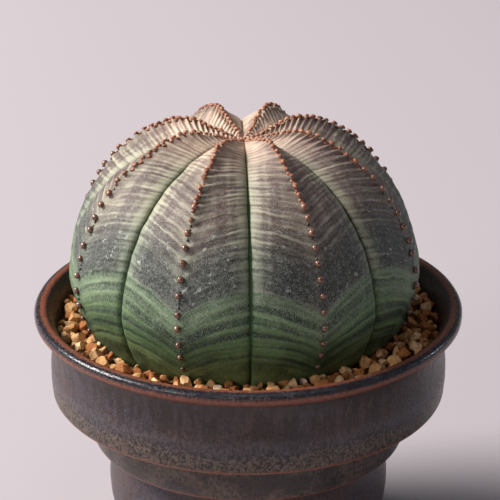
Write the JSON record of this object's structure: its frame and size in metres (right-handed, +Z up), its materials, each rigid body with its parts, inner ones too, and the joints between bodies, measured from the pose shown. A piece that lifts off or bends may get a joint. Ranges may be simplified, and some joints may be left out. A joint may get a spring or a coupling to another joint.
{
  "type": "potted baseball plant",
  "caption": "Ribbed, leafless globe of a baseball plant rooted in grit in a round stepped stoneware pot with a rolled lip, a foot ring and a drain hole.",
  "frame": {"origin": "centre of the pot's foot, on the surface that it stands on", "axes": "+Z up; -Y towards the front, between two ribs of the plant; +X to the right"},
  "size_m": [0.11, 0.11, 0.1186],
  "materials": {
    "glazed_stoneware": "dark brown to blue-black reduction glaze, satin, with rust-red edges",
    "net_plastic": "moulded plastic mesh",
    "grit": "damp fine fired-clay and pumice grit",
    "gravel": "rough porous fired-clay granules, ochre to cream",
    "plant_skin": "matt waxy plant skin, green with purple-brown bands"
  },
  "bodies": {
    "root": {"pot": "glazed_stoneware", "drain_net": "net_plastic", "substrate": "grit", "stem": "plant_skin", "stone_01": "gravel", "stone_02": "gravel", "stone_03": "gravel", "stone_04": "gravel", "stone_05": "gravel", "stone_06": "gravel", "stone_07": "gravel", "stone_08": "gravel", "stone_09": "gravel", "stone_10": "gravel", "stone_11": "gravel", "stone_12": "gravel", "stone_13": "gravel", "stone_14": "gravel", "stone_15": "gravel", "stone_16": "gravel", "stone_17": "gravel", "stone_18": "gravel", "stone_19": "gravel", "stone_20": "gravel", "stone_21": "gravel", "stone_22": "gravel", "stone_23": "gravel", "stone_24": "gravel", "stone_25": "gravel", "stone_26": "gravel", "stone_27": "gravel", "stone_28": "gravel", "stone_29": "gravel", "stone_30": "gravel", "stone_31": "gravel", "stone_32": "gravel", "stone_33": "gravel", "stone_34": "gravel", "stone_35": "gravel", "stone_36": "gravel", "stone_37": "gravel", "stone_38": "gravel", "stone_39": "gravel", "stone_40": "gravel", "stone_41": "gravel", "stone_42": "gravel", "stone_43": "gravel", "stone_44": "gravel", "stone_45": "gravel", "stone_46": "gravel", "stone_47": "gravel", "stone_48": "gravel", "stone_49": "gravel", "stone_50": "gravel"}
  },
  "joints": []
}
